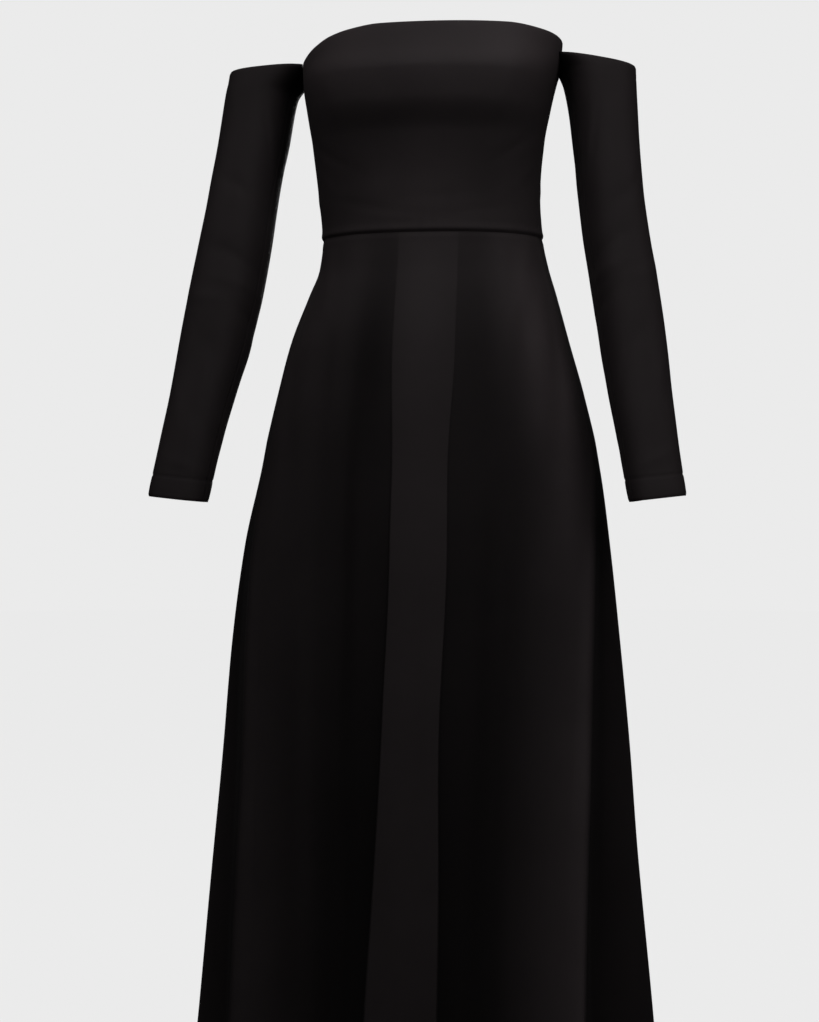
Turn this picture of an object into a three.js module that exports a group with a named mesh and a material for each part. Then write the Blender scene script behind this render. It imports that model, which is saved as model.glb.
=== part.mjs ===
import * as THREE from "three";

// Off-shoulder dress, floor length, with long slim sleeves and a flared skirt, in the shape it has when worn.
// Millimetres. +Z is up, the front faces -Y, and the wearer's left is at +X.
// The origin is in the middle of the chest, at the level of the underarm.
// Angles are in degrees round the body: 0 is the centre front, 90 the wearer's left, 180 the centre back.

// Driving dimensions
const clothThickness = 1.6;
const seamGap = 0.3;
const waistLevel = -182;
const hemLevel = -1242;
const sideSeamAngle = 98;
const armholeClearance = 0.45;
const armholeLap = 0.5;
const armholeDeepest = -60;
const cuffInner = -487;
const cuffOuter = -480;
const foldLevel = -440;
const foldGrowthPower = 0.9;
const centreFlareHeight = 7;
const zipTapeWidth = 24;
const zipTapeThickness = 1;
const zipTapeClearance = 0.6;
const zipTapeTop = 2;
const zipTapeBottom = -362;
const zipMouthHalfWidth = 3.6;
const zipMouthDepth = 17;

const crepeColour = 0x1b1819;
const zipColour = 0x121112;

// The body of the dress: half widths on the wearer's right and left, and depths of front and back,
// all measured from the axis
const bodySections = [
  { level: 60, right: 152, left: 158, front: 96, back: 97.5, squareness: 2.25 },
  { level: 26, right: 150, left: 154, front: 106, back: 97, squareness: 2.25 },
  { level: 0, right: 149, left: 147, front: 116, back: 96.5, squareness: 2.25 },
  { level: -30, right: 145, left: 140, front: 114, back: 95.5, squareness: 2.25 },
  { level: -69, right: 139, left: 132.5, front: 102, back: 94, squareness: 2.25 },
  { level: -127, right: 131.5, left: 128, front: 93, back: 91, squareness: 2.2 },
  { level: -182, right: 127, left: 131, front: 91, back: 88.5, squareness: 2.2 },
  { level: -215, right: 131, left: 137.5, front: 97, back: 99, squareness: 2.2 },
  { level: -244, right: 142, left: 146, front: 108, back: 113, squareness: 2.2 },
  { level: -303, right: 164, left: 162, front: 129, back: 136, squareness: 2.15 },
  { level: -361, right: 179, left: 178, front: 141, back: 150, squareness: 2.1 },
  { level: -449, right: 199, left: 197, front: 155, back: 165, squareness: 2.1 },
  { level: -537, right: 219, left: 207, front: 168, back: 179, squareness: 2.1 },
  { level: -654, right: 234, left: 218, front: 184, back: 195, squareness: 2.1 },
  { level: -771, right: 243, left: 228, front: 198, back: 209, squareness: 2.1 },
  { level: -888, right: 253, left: 236, front: 211, back: 222, squareness: 2.1 },
  { level: -1093, right: 270, left: 254, front: 231, back: 240, squareness: 2.1 },
  { level: -1242, right: 283, left: 267, front: 244, back: 252, squareness: 2.1 },
];

// The top edge round the body
const neckline = [
  { angle: -180, level: 20 },
  { angle: -125, level: 21 },
  { angle: -92, level: 25 },
  { angle: -76, level: 28 },
  { angle: -64, level: 37 },
  { angle: -55, level: 45 },
  { angle: -44, level: 50.5 },
  { angle: -27, level: 54.5 },
  { angle: 18, level: 55 },
  { angle: 50, level: 55 },
  { angle: 67, level: 51 },
  { angle: 78, level: 47.5 },
  { angle: 90, level: 42 },
  { angle: 125, level: 24 },
  { angle: 180, level: 20 },
];

// The flat flare down the centre front: its middle and its half width across the body
const centreFlare = [
  { level: -182, middle: 8.5, halfWidth: 32.5 },
  { level: -318, middle: 8, halfWidth: 33.5 },
  { level: -447, middle: 6.5, halfWidth: 29 },
  { level: -550, middle: 6.5, halfWidth: 30 },
  { level: -723, middle: 1.5, halfWidth: 29.5 },
  { level: -892, middle: -1, halfWidth: 33 },
  { level: -1040, middle: -5, halfWidth: 36.5 },
  { level: -1242, middle: -8, halfWidth: 40 },
];

// The flares of the skirt: the line that each follows, as an angle above the fold level and at the hem,
// how far it stands out or in at the hem, and the share of the skirt's length above it that stays smooth
const leftFlares = [
  { above: 31, hem: 14, depth: -22, smooth: 0 },
  { above: 41, hem: 22, depth: -40, smooth: 0 },
  { above: 52, hem: 30, depth: -48, smooth: 0.03 },
  { above: 65, hem: 38, depth: -42, smooth: 0.12 },
  { above: 74, hem: 43.5, depth: -26, smooth: 0.18 },
  { above: 79, hem: 47.5, depth: -8, smooth: 0.2 },
  { above: 83, hem: 51.5, depth: -20, smooth: 0.22 },
  { above: 88, hem: 62, depth: -32, smooth: 0.22 },
  { above: 94, hem: 84, depth: 8, smooth: 0.25 },
];
const rightFlares = [
  { above: 24, hem: 16, depth: -24, smooth: 0 },
  { above: 33, hem: 25, depth: -42, smooth: 0 },
  { above: 44, hem: 33.5, depth: -49, smooth: 0.03 },
  { above: 57, hem: 43, depth: -42, smooth: 0.12 },
  { above: 67, hem: 49.5, depth: -25, smooth: 0.18 },
  { above: 72, hem: 54, depth: -7, smooth: 0.2 },
  { above: 76, hem: 58, depth: -19, smooth: 0.2 },
  { above: 83, hem: 69, depth: -30, smooth: 0.22 },
  { above: 93, hem: 87, depth: 8, smooth: 0.25 },
];
const seamFlare = { above: 98, hem: 98, depth: 1, smooth: 0.3 };
const backFlares = [
  { above: 110, hem: 113, depth: -14, smooth: 0.2 },
  { above: 132, hem: 134, depth: 13, smooth: 0.12 },
  { above: 156, hem: 157, depth: -12, smooth: 0.08 },
  { above: 180, hem: 180, depth: 6, smooth: 0.05 },
];
// The first flare past the centre back, so that both halves meet square to the seam
const pastBack = { above: 204, hem: 203, depth: -12, smooth: 0.08 };

// The sleeves: outer and inner edges measured out from the axis on each side, the middle from front to back,
// and the depth
const sleeveSections = [
  { level: 32, rightOuter: 233, rightInner: 130, leftOuter: 236, leftInner: 124, middle: 18, depth: 106 },
  { level: 12, rightOuter: 237, rightInner: 151, leftOuter: 239, leftInner: 143, middle: 15, depth: 108 },
  { level: -8, rightOuter: 242, rightInner: 166, leftOuter: 240, leftInner: 156, middle: 12, depth: 107 },
  { level: -66, rightOuter: 250, rightInner: 172.5, leftOuter: 243, leftInner: 164.5, middle: 1, depth: 104 },
  { level: -128, rightOuter: 259, rightInner: 181.5, leftOuter: 248, leftInner: 171, middle: -13, depth: 100 },
  { level: -188, rightOuter: 268, rightInner: 187, leftOuter: 257, leftInner: 178.5, middle: -27, depth: 97 },
  { level: -248, rightOuter: 277, rightInner: 194.5, leftOuter: 266.5, leftInner: 188.5, middle: -42, depth: 94 },
  { level: -307, rightOuter: 284.5, rightInner: 206, leftOuter: 275, leftInner: 198.5, middle: -57, depth: 88 },
  { level: -366, rightOuter: 291.5, rightInner: 220, leftOuter: 281.5, leftInner: 209, middle: -75, depth: 80 },
  { level: -423, rightOuter: 300, rightInner: 232, leftOuter: 288.5, leftInner: 221, middle: -93, depth: 71 },
  { level: -485, rightOuter: 309, rightInner: 242, leftOuter: 298, leftInner: 233, middle: -112, depth: 62 },
];
const sleeveSquareness = 2.7;

// What differs between the sleeves: the turn of the inner face to the front, and the levels of the top edge
const rightSleeve = { side: -1, turn: 7, topAtBody: 29, topOuter: 21 };
const leftSleeve = { side: 1, turn: 17, topAtBody: 29, topOuter: 14 };

const radians = THREE.MathUtils.degToRad;
const degrees = THREE.MathUtils.radToDeg;
const lerp = THREE.MathUtils.lerp;

// The slope of a smooth curve at each of its points: none at a peak or a dip, so that it never overshoots
function curveSlopes(xs, ys) {
  const chords = xs.slice(1).map((x, i) => (ys[i + 1] - ys[i]) / (x - xs[i]));
  return xs.map((x, i) => {
    if (i === 0) {
      return chords[0];
    }
    if (i === xs.length - 1) {
      return chords[i - 1];
    }
    const [before, after] = [chords[i - 1], chords[i]];
    return before * after <= 0 ? 0 : (2 * before * after) / (before + after);
  });
}

function smoothCurve(xs, ys) {
  const slopes = curveSlopes(xs, ys);
  const last = xs.length - 1;
  return (x) => {
    const held = THREE.MathUtils.clamp(x, xs[0], xs[last]);
    let i = 0;
    while (i < last - 1 && held > xs[i + 1]) {
      i += 1;
    }
    const span = xs[i + 1] - xs[i];
    const t = (held - xs[i]) / span;
    const ease = t * t * (3 - 2 * t);
    const rise = lerp(ys[i], ys[i + 1], ease);
    return rise + span * (slopes[i] * t * (1 - t) ** 2 - slopes[i + 1] * t * t * (1 - t));
  };
}

function columnCurve(rows, by, name) {
  const ordered = [...rows].sort((a, b) => a[by] - b[by]);
  return smoothCurve(ordered.map((row) => row[by]), ordered.map((row) => row[name]));
}

function tableCurves(rows, by) {
  const names = Object.keys(rows[0]).filter((name) => name !== by);
  return Object.fromEntries(names.map((name) => [name, columnCurve(rows, by, name)]));
}

const body = tableCurves(bodySections, "level");
const flare = tableCurves(centreFlare, "level");
const sleeve = tableCurves(sleeveSections, "level");
const necklineLevel = columnCurve(neckline, "angle", "level");

// How far the smooth body stands from the axis
function bodyRadius(angle, level) {
  const across = Math.sin(radians(angle));
  const ahead = Math.cos(radians(angle));
  const halfWidth = across > 0 ? body.left(level) : body.right(level);
  const depth = ahead > 0 ? body.front(level) : body.back(level);
  const power = body.squareness(level);
  return (Math.abs(across / halfWidth) ** power + Math.abs(ahead / depth) ** power) ** (-1 / power);
}

function aroundAxis(angle, radius, level) {
  return new THREE.Vector3(radius * Math.sin(radians(angle)), -radius * Math.cos(radians(angle)), level);
}

function bodyPoint(angle, level) {
  return aroundAxis(angle, bodyRadius(angle, level), level);
}

// Share of a flare line's way from its angle above the fold level to its angle at the hem
function flareDrift(level) {
  const inverse = (at) => 1 / body.front(at);
  const share = (inverse(level) - inverse(hemLevel)) / (inverse(foldLevel) - inverse(hemLevel));
  return Math.min(1, Math.max(0, share));
}

function flareGrowth(level, smooth) {
  const down = (waistLevel - level) / (waistLevel - hemLevel);
  return Math.max(0, (down - smooth) / (1 - smooth)) ** foldGrowthPower;
}

// The edge of the centre flare on one side, as an angle
function centreFlareEdge(side, level) {
  const across = flare.middle(level) + side * flare.halfWidth(level);
  return degrees(Math.atan2(across, body.front(level)));
}

// All flare lines round the skirt at one level: their angles and how far they stand out or in
function flareLines(level) {
  const drift = flareDrift(level);
  const line = (side) => (row) => ({
    angle: side * lerp(row.hem, row.above, drift),
    depth: row.depth * flareGrowth(level, row.smooth),
  });
  const rightRows = [...rightFlares, seamFlare, ...backFlares, pastBack];
  const leftRows = [...leftFlares, seamFlare, ...backFlares, pastBack];
  const crest = centreFlareHeight * flareGrowth(level, 0);
  return [
    ...rightRows.map(line(-1)).reverse(),
    { angle: centreFlareEdge(-1, level), depth: crest },
    { angle: centreFlareEdge(1, level), depth: crest },
    ...leftRows.map(line(1)),
  ];
}

const lineCount = flareLines(hemLevel).length;
const rightBackLine = 1;
const leftBackLine = lineCount - 2;
const rightSeamLine = rightBackLine + backFlares.length;
const leftSeamLine = leftBackLine - backFlares.length;

// The skirt's surface at one level. A place is counted in flare lines, from the centre back by the wearer's
// right.
function skirtSection(level) {
  const lines = flareLines(level);
  const places = lines.map((line, i) => i);
  const angleAt = smoothCurve(places, lines.map((line) => line.angle));
  const depthAt = smoothCurve(places, lines.map((line) => line.depth));
  return (place) => {
    const angle = angleAt(place);
    return aroundAxis(angle, bodyRadius(angle, level) + depthAt(place), level);
  };
}

// Moves a point of a level section to its inside, square to the section
function movedIn(section, place, step, distance) {
  const before = section(place - step);
  const after = section(place + step);
  const along = after.sub(before).setZ(0).normalize();
  const inward = new THREE.Vector3(-along.y, along.x, 0);
  return section(place).addScaledVector(inward, distance);
}

// A closed wall between an outer and an inner grid of points, rows from the top down and columns from the
// wearer's right to the left. A ring's last column joins its first.
function wallMesh(name, outer, inner, material, ring = false) {
  const rowCount = outer.length;
  const columnCount = outer[0].length;
  const points = [...outer.flat(), ...inner.flat()];
  const innerStart = rowCount * columnCount;
  const at = (row, column) => row * columnCount + (column % columnCount);
  const triangles = [];
  const spans = ring ? columnCount : columnCount - 1;
  for (let row = 0; row < rowCount - 1; row += 1) {
    for (let column = 0; column < spans; column += 1) {
      const [a, b] = [at(row, column), at(row + 1, column)];
      const [c, d] = [at(row + 1, column + 1), at(row, column + 1)];
      triangles.push(a, b, c, a, c, d);
      triangles.push(...[a, c, b, a, d, c].map((i) => i + innerStart));
    }
  }
  const rim = (from, to) => {
    triangles.push(to, from, from + innerStart, to, from + innerStart, to + innerStart);
  };
  for (let column = 0; column < spans; column += 1) {
    rim(at(rowCount - 1, column), at(rowCount - 1, column + 1));
    rim(at(0, column + 1), at(0, column));
  }
  for (let row = 0; row < rowCount - 1 && !ring; row += 1) {
    rim(at(row, 0), at(row + 1, 0));
    rim(at(row + 1, columnCount - 1), at(row, columnCount - 1));
  }
  const geometry = new THREE.BufferGeometry();
  geometry.setAttribute("position", new THREE.Float32BufferAttribute(points.flatMap((p) => p.toArray()), 3));
  geometry.setIndex(triangles);
  geometry.computeVertexNormals();
  const mesh = new THREE.Mesh(geometry, material);
  mesh.name = name;
  return mesh;
}

function crepe() {
  return new THREE.MeshStandardMaterial({ color: crepeColour, roughness: 0.7, metalness: 0 });
}

function zipMaterial(roughness, metalness) {
  return new THREE.MeshStandardMaterial({ color: zipColour, roughness, metalness });
}

// Even steps through a list of marks, the last mark included
function stepsThrough(marks, steps) {
  const inner = marks.slice(0, -1).flatMap((mark, i) =>
    Array.from({ length: steps[i] }, (_, k) => lerp(mark, marks[i + 1], k / steps[i])));
  return [...inner, marks[marks.length - 1]];
}

// One sleeve's level section, which runs round from its outer edge towards the back
function sleeveShape(which, level, inset) {
  const name = which.side > 0 ? "left" : "right";
  const outer = sleeve[`${name}Outer`](level);
  const inner = sleeve[`${name}Inner`](level);
  const turn = radians(which.turn);
  const halfDepth = sleeve.depth(level) / 2;
  // The turned shape keeps the width between its outer and inner edges
  const dual = sleeveSquareness / (sleeveSquareness - 1);
  const halfReach = ((outer - inner) / 2) ** dual - (halfDepth * Math.sin(turn)) ** dual;
  return {
    outward: (outer + inner) / 2,
    back: sleeve.middle(level),
    halfWidth: halfReach ** (1 / dual) / Math.cos(turn) - inset,
    halfDepth: halfDepth - inset,
    turn,
  };
}

function sleevePoint(which, around, level, inset = 0) {
  const shape = sleeveShape(which, level, inset);
  const power = 2 / sleeveSquareness;
  const round = (value) => Math.sign(value) * Math.abs(value) ** power;
  const out = shape.halfWidth * round(Math.cos(radians(around)));
  const back = shape.halfDepth * round(Math.sin(radians(around)));
  const x = shape.outward + out * Math.cos(shape.turn) - back * Math.sin(shape.turn);
  const y = shape.back + out * Math.sin(shape.turn) + back * Math.cos(shape.turn);
  return new THREE.Vector3(which.side * x, y, level);
}

function insideSleeve(which, point, inset) {
  const shape = sleeveShape(which, point.z, inset);
  const x = which.side * point.x - shape.outward;
  const y = point.y - shape.back;
  const out = (x * Math.cos(shape.turn) + y * Math.sin(shape.turn)) / shape.halfWidth;
  const back = (y * Math.cos(shape.turn) - x * Math.sin(shape.turn)) / shape.halfDepth;
  return Math.abs(out) ** sleeveSquareness + Math.abs(back) ** sleeveSquareness < 1;
}

function clearOfBody(point) {
  const angle = degrees(Math.atan2(point.x, -point.y));
  return Math.hypot(point.x, point.y) - bodyRadius(angle, point.z);
}

// The sleeve's top edge runs straight from its seam at the body to its outer side
function sleeveTop(which, point) {
  const shape = sleeveShape(which, which.topOuter, 0);
  const across = (which.side * point.x - shape.outward) / shape.halfWidth;
  return lerp(which.topAtBody, which.topOuter, THREE.MathUtils.clamp((across + 1) / 2, 0, 1));
}

// Halves the way between a place where a test fails and one where it holds until they meet
function boundary(fails, holds, test) {
  let [low, high] = [fails, holds];
  for (let i = 0; i < 40; i += 1) {
    const middle = (low + high) / 2;
    if (test(middle)) {
      high = middle;
    } else {
      low = middle;
    }
  }
  return high;
}

function sleeveClears(which, around, level) {
  return [0, clothThickness].every((inset) =>
    clearOfBody(sleevePoint(which, around, level, inset)) > armholeClearance);
}

// Where the sleeve's top edge meets the body, in front and behind
function sleeveCorners(which) {
  const clears = (around) => {
    const top = sleeveTop(which, sleevePoint(which, around, which.topAtBody));
    return sleeveClears(which, around, top);
  };
  return { back: boundary(180, 90, clears), front: boundary(180, 270, clears) };
}

function sleeveColumnTop(which, around) {
  const top = sleeveTop(which, sleevePoint(which, around, which.topAtBody));
  if (sleeveClears(which, around, top)) {
    return top;
  }
  return boundary(top, armholeDeepest, (level) => sleeveClears(which, around, level));
}

// Columns from the front corner of the top edge to the outer side, to the back corner, and along the armhole
const sleeveColumnSteps = [9, 7, 10];

function makeSleeve(which, name) {
  const corners = sleeveCorners(which);
  const marks = [corners.front - 360, 0, corners.back, corners.front];
  const around = stepsThrough(marks, sleeveColumnSteps).slice(0, -1);
  const down = stepsThrough([0, 0.04, 1], [1, 11]);
  const cuffShape = sleeveShape(which, cuffOuter, 0);
  const grid = (inset) => down.map((share) => around.map((angle) => {
    const cuff = sleevePoint(which, angle, cuffOuter);
    const out = (which.side * cuff.x - cuffShape.outward) / cuffShape.halfWidth;
    const bottom = lerp(cuffOuter, cuffInner, THREE.MathUtils.clamp((1 - out) / 2, 0, 1));
    return sleevePoint(which, angle, lerp(sleeveColumnTop(which, angle), bottom, share), inset);
  }));
  const ordered = (rows) => (which.side > 0 ? rows : rows.map((row) => [...row].reverse()));
  return wallMesh(name, ordered(grid(0)), ordered(grid(clothThickness)), crepe(), true);
}

// The top edge of the bodice: the neckline, or the armhole where the body enters a sleeve
function bodiceTop(angle) {
  const top = necklineLevel(angle);
  const which = angle > 0 ? leftSleeve : rightSleeve;
  const inSleeve = (level) => insideSleeve(which, bodyPoint(angle, level), armholeLap);
  const sleeveLimit = Math.min(top, sleeveTop(which, bodyPoint(angle, top)));
  if (!inSleeve(sleeveLimit)) {
    return top;
  }
  return boundary(armholeDeepest, sleeveLimit, inSleeve);
}

// A drop from the neckline that only an armhole makes
const sureDrop = 1;

// Where the armhole starts and ends at its top, as angles round the body
function armholeCorners(which) {
  const open = (angle) => bodiceTop(which.side * angle) < necklineLevel(which.side * angle) - sureDrop;
  return { front: boundary(60, 100, open), back: boundary(150, 110, open) };
}

function seamBack(angle, level) {
  return degrees((seamGap / 2) / bodyRadius(angle, level));
}

function bodicePanel(name, columns, edges) {
  const rowCount = 10;
  const bottom = waistLevel + seamGap / 2;
  const cornerStep = 0.1;
  const grid = (distance) => Array.from({ length: rowCount + 1 }, (_, row) =>
    columns.map((angle, column) => {
      const level = lerp(bodiceTop(angle), bottom, row / rowCount);
      const first = column === 0 ? edges.first(level) : 0;
      const last = column === columns.length - 1 ? edges.last(level) : 0;
      const place = angle + first - last;
      return movedIn((at) => bodyPoint(at, level), place, cornerStep, distance);
    }));
  return wallMesh(name, grid(0), grid(clothThickness), crepe());
}

const rightArmhole = armholeCorners(rightSleeve);
const leftArmhole = armholeCorners(leftSleeve);
const cornerWidth = 0.5;

function zipMouth(level) {
  const top = necklineLevel(180);
  const open = Math.max(0, 1 - (top - level) / zipMouthDepth);
  return seamGap / 2 + (zipMouthHalfWidth - seamGap / 2) * open;
}

const seamEdge = (level) => seamBack(sideSeamAngle, level);
const zipEdge = (level) => degrees(zipMouth(level) / bodyRadius(180, level));

function makeBodice() {
  const frontColumns = stepsThrough(
    [-sideSeamAngle, -rightArmhole.front - cornerWidth, -rightArmhole.front + cornerWidth, 0,
      leftArmhole.front - cornerWidth, leftArmhole.front + cornerWidth, sideSeamAngle],
    [4, 1, 12, 12, 1, 4],
  );
  const backColumns = (armhole) => stepsThrough(
    [sideSeamAngle, armhole.back - cornerWidth, armhole.back + cornerWidth, 180],
    [6, 1, 8],
  );
  const rightBack = backColumns(rightArmhole).reverse().map((angle) => -angle);
  return [
    bodicePanel("bodice_front", frontColumns, { first: seamEdge, last: seamEdge }),
    bodicePanel("bodice_back_left", backColumns(leftArmhole), { first: seamEdge, last: zipEdge }),
    bodicePanel("bodice_back_right", rightBack, { first: zipEdge, last: seamEdge }),
  ];
}

const skirtLevels = [
  waistLevel, -196, -215, -240, -270, -303, -340, -385,
  foldLevel, -510, -600, -710, -830, -960, -1100, hemLevel,
];

function skirtPanel(name, firstLine, lastLine, stepsPerLine) {
  const places = stepsThrough([firstLine, lastLine], [(lastLine - firstLine) * stepsPerLine]);
  const step = 0.02;
  const grid = (distance) => skirtLevels.map((mark, row) => {
    const level = row === 0 ? mark - seamGap / 2 : mark;
    const section = skirtSection(level);
    return places.map((place, column) => {
      const next = section(column === 0 ? place + step : place - step);
      const pull = (seamGap / 2) * (step / next.distanceTo(section(place)));
      const moved = column === 0 ? place + pull : column === places.length - 1 ? place - pull : place;
      return movedIn(section, moved, step / 2, distance);
    });
  });
  return wallMesh(name, grid(0), grid(clothThickness), crepe());
}

function makeSkirt() {
  return [
    skirtPanel("skirt_front", rightSeamLine, leftSeamLine, 3),
    skirtPanel("skirt_back_left", leftSeamLine, leftBackLine, 6),
    skirtPanel("skirt_back_right", rightBackLine, rightSeamLine, 6),
  ];
}

// Degrees between the centre back and the flare lines next to it, above the fold level
const backLineAngle = 24;
const acrossStep = 0.05;

// The tape of the concealed zip lies inside the centre back, over bodice and skirt
function makeZipTape() {
  const columnCount = 6;
  const rowCount = 24;
  const innerFace = clothThickness + zipTapeClearance;
  const section = (level) => {
    const inSkirt = level < waistLevel ? skirtSection(level) : null;
    return (across) => {
      const angle = 180 + degrees(across / bodyRadius(180, level));
      const lineShare = Math.abs(across) / (body.back(level) * radians(backLineAngle));
      const place = across < 0 ? leftBackLine - lineShare : rightBackLine + lineShare;
      return inSkirt ? inSkirt(place) : bodyPoint(angle, level);
    };
  };
  const grid = (distance) => Array.from({ length: rowCount + 1 }, (_, row) => {
    const level = lerp(zipTapeTop, zipTapeBottom, row / rowCount);
    const at = section(level);
    return Array.from({ length: columnCount + 1 }, (_, column) => {
      const across = zipTapeWidth * (column / columnCount - 0.5);
      // A little off the middle, so that both neighbours lie on one half of the skirt
      const oneSided = Math.abs(across) < 2 * acrossStep ? 2 * acrossStep : across;
      return movedIn(at, oneSided, acrossStep, distance);
    });
  });
  return wallMesh("zip_tape", grid(innerFace), grid(innerFace + zipTapeThickness), zipMaterial(0.8, 0));
}

// The slider sits in the mouth at the top of the centre back. The pull hangs on its crown and swings about X.
const slider = {
  bottom: 10, top: 18, width: 2.2, inFromCloth: 1.4, outFromCloth: 0.8, crown: 0.9, eye: 2.4, rounding: 0.8,
};
const pull = {
  thickness: 1.1, eyeWidth: 3.2, eyeHeight: 2.9, limb: 1, length: 23, neckHalfWidth: 1.5, endRadius: 3.1,
};
const pullAxisLevel = (slider.bottom + slider.top) / 2;
const clothAtSlider = body.back(pullAxisLevel);
const pullAxisDepth = clothAtSlider + slider.outFromCloth + slider.eye / 2;

// Extrudes a side profile, drawn as (back, up), across the dress
function makeZipSlider() {
  const inside = clothAtSlider - slider.inFromCloth;
  const face = clothAtSlider + slider.outFromCloth;
  const crownTop = face + slider.eye + slider.crown;
  const halfCrown = slider.eye / 2 + slider.crown;
  const round = slider.rounding;
  const outline = new THREE.Shape();
  outline.moveTo(inside, slider.bottom);
  outline.lineTo(face, slider.bottom + round);
  outline.lineTo(face, pullAxisLevel - halfCrown);
  outline.lineTo(crownTop - round, pullAxisLevel - halfCrown);
  outline.lineTo(crownTop, pullAxisLevel - halfCrown + round);
  outline.lineTo(crownTop, pullAxisLevel + halfCrown - round);
  outline.lineTo(crownTop - round, pullAxisLevel + halfCrown);
  outline.lineTo(face, pullAxisLevel + halfCrown);
  outline.lineTo(face, slider.top - round);
  outline.lineTo(inside, slider.top);
  outline.closePath();
  const eye = new THREE.Path();
  eye.absarc(pullAxisDepth, pullAxisLevel, slider.eye / 2, 0, Math.PI * 2, true);
  outline.holes.push(eye);
  const extrusion = { depth: slider.width, bevelEnabled: false, curveSegments: 8 };
  const geometry = new THREE.ExtrudeGeometry(outline, extrusion);
  // The profile's own axes turn to the dress's: drawn x to Y, drawn y to Z, depth to X
  const turned = new THREE.Matrix4();
  turned.set(0, 0, 1, -slider.width / 2, 1, 0, 0, 0, 0, 1, 0, 0, 0, 0, 0, 1);
  geometry.applyMatrix4(turned);
  const mesh = new THREE.Mesh(geometry, zipMaterial(0.35, 0.8));
  mesh.name = "zip_slider";
  return mesh;
}

function makeZipPull() {
  const bar = pull.thickness;
  const halfHead = pull.eyeWidth / 2 + pull.limb;
  const neck = -(pull.eyeHeight + 2 * bar);
  const narrow = pull.neckHalfWidth;
  const end = bar / 2 - pull.length + pull.endRadius;
  const outline = new THREE.Shape();
  outline.moveTo(-halfHead, bar / 2);
  outline.lineTo(-halfHead, neck + bar);
  outline.lineTo(-narrow, neck - bar);
  outline.lineTo(-pull.endRadius, end);
  outline.absarc(0, end, pull.endRadius, Math.PI, Math.PI * 2, false);
  outline.lineTo(narrow, neck - bar);
  outline.lineTo(halfHead, neck + bar);
  outline.lineTo(halfHead, bar / 2);
  outline.closePath();
  const eye = new THREE.Path();
  eye.moveTo(-pull.eyeWidth / 2, -bar / 2);
  eye.lineTo(pull.eyeWidth / 2, -bar / 2);
  eye.lineTo(pull.eyeWidth / 2, -bar / 2 - pull.eyeHeight);
  eye.lineTo(-pull.eyeWidth / 2, -bar / 2 - pull.eyeHeight);
  eye.closePath();
  outline.holes.push(eye);
  const extrusion = { depth: bar, bevelEnabled: false, curveSegments: 8 };
  const geometry = new THREE.ExtrudeGeometry(outline, extrusion);
  // Drawn x to -X, drawn y to Z, depth to Y, so that the front of the drawing faces out from the back
  const turned = new THREE.Matrix4();
  turned.set(-1, 0, 0, 0, 0, 0, 1, -bar / 2, 0, 1, 0, 0, 0, 0, 0, 1);
  geometry.applyMatrix4(turned);
  const mesh = new THREE.Mesh(geometry, zipMaterial(0.35, 0.8));
  mesh.name = "zip_pull";
  mesh.position.set(0, pullAxisDepth, pullAxisLevel);
  return mesh;
}

const dress = new THREE.Group();
dress.add(...makeBodice());
dress.add(makeSleeve(rightSleeve, "sleeve_right"));
dress.add(makeSleeve(leftSleeve, "sleeve_left"));
dress.add(...makeSkirt());
dress.add(makeZipTape());
dress.add(makeZipSlider());
dress.add(makeZipPull());

export default dress;
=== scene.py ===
import math

import bmesh
import bpy
import numpy as np
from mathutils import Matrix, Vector


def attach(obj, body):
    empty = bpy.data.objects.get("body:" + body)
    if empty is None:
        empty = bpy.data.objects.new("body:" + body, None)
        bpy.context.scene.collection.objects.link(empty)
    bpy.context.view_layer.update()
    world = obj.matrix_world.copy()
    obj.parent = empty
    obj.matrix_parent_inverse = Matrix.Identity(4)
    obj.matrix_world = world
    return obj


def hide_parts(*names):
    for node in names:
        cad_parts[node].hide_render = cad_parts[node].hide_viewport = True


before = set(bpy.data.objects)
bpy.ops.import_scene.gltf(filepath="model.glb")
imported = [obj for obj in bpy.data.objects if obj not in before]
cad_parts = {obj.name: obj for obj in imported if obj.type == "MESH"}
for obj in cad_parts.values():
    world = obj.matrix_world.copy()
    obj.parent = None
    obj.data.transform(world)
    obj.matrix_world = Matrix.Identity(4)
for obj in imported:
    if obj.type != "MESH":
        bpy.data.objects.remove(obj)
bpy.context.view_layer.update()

# Off-shoulder dress of black crepe. The tables are in millimetres and degrees, as the dress was cut and
# measured. Every point is turned to metres once, where a mesh is made. Angles run round the body: 0 is the
# centre front, 90 the left side as worn and 180 the centre back.
MM = 0.001

cloth_thickness = 1.1
seam_gap = -0.02
waist_level = -182.0
hem_level = -1242.0
side_seam_angle = 98.0
fold_level = -440.0
fold_growth_power = 0.9
armhole_clearance = -0.5
armhole_lap = 9.0
sleeve_squareness = 2.7
zip_mouth_half_width = 3.6
zip_mouth_depth = 17.0
hem_turn_up = 38.0
cuff_turn_in = 24.0

# The smooth body of the dress: half widths on the right and left as worn, depths of front and back
body_columns = ("level", "right", "left", "front", "back", "squareness")
body_sections = [
    (60, 152, 158, 96, 97.5, 2.25),
    (26, 150, 154, 106, 97, 2.25),
    (0, 149, 147, 116, 96.5, 2.25),
    (-30, 145, 140, 114, 95.5, 2.25),
    (-69, 139, 132.5, 102, 94, 2.25),
    (-127, 131.5, 128, 93, 91, 2.2),
    (-182, 127, 131, 91, 88.5, 2.2),
    (-215, 131, 137.5, 97, 99, 2.2),
    (-244, 142, 146, 108, 113, 2.2),
    (-303, 164, 162, 129, 136, 2.15),
    (-361, 179, 178, 141, 150, 2.1),
    (-449, 199, 197, 155, 165, 2.1),
    (-537, 219, 207, 168, 179, 2.1),
    (-654, 234, 218, 184, 195, 2.1),
    (-771, 243, 228, 198, 209, 2.1),
    (-888, 253, 236, 211, 222, 2.1),
    (-1093, 270, 254, 231, 240, 2.1),
    (-1242, 283, 267, 244, 252, 2.1),
]

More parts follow.
